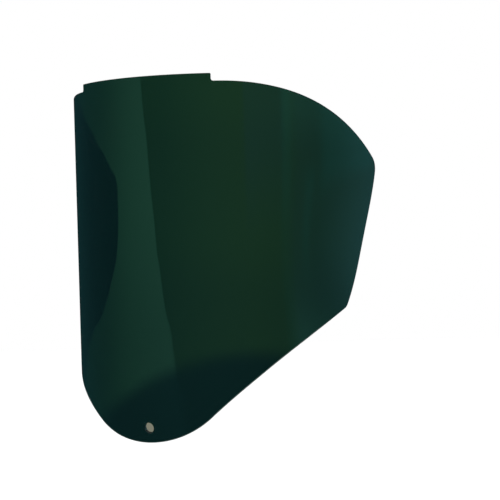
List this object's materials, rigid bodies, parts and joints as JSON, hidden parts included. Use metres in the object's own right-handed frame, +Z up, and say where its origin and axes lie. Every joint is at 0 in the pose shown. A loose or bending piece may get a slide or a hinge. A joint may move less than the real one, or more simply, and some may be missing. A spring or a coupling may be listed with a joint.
{
  "type": "face shield window",
  "caption": "Dark green transparent face shield window: a moulded curved sheet with a raised brow tab, swept-back temples, a tapered rounded chin and a small fastener hole at the chin.",
  "frame": {"origin": "middle of the brow tab's top edge, at half the sheet's thickness, where the headgear holds the window", "axes": "+Z up towards the crown, -Y the way the wearer looks, +X the wearer's left"},
  "size_m": [0.2016, 0.1336, 0.2285],
  "materials": {
    "green_polycarbonate": "polished, transparent, dark green welding shade"
  },
  "bodies": {
    "root": {"visor_window": "green_polycarbonate"}
  },
  "joints": []
}
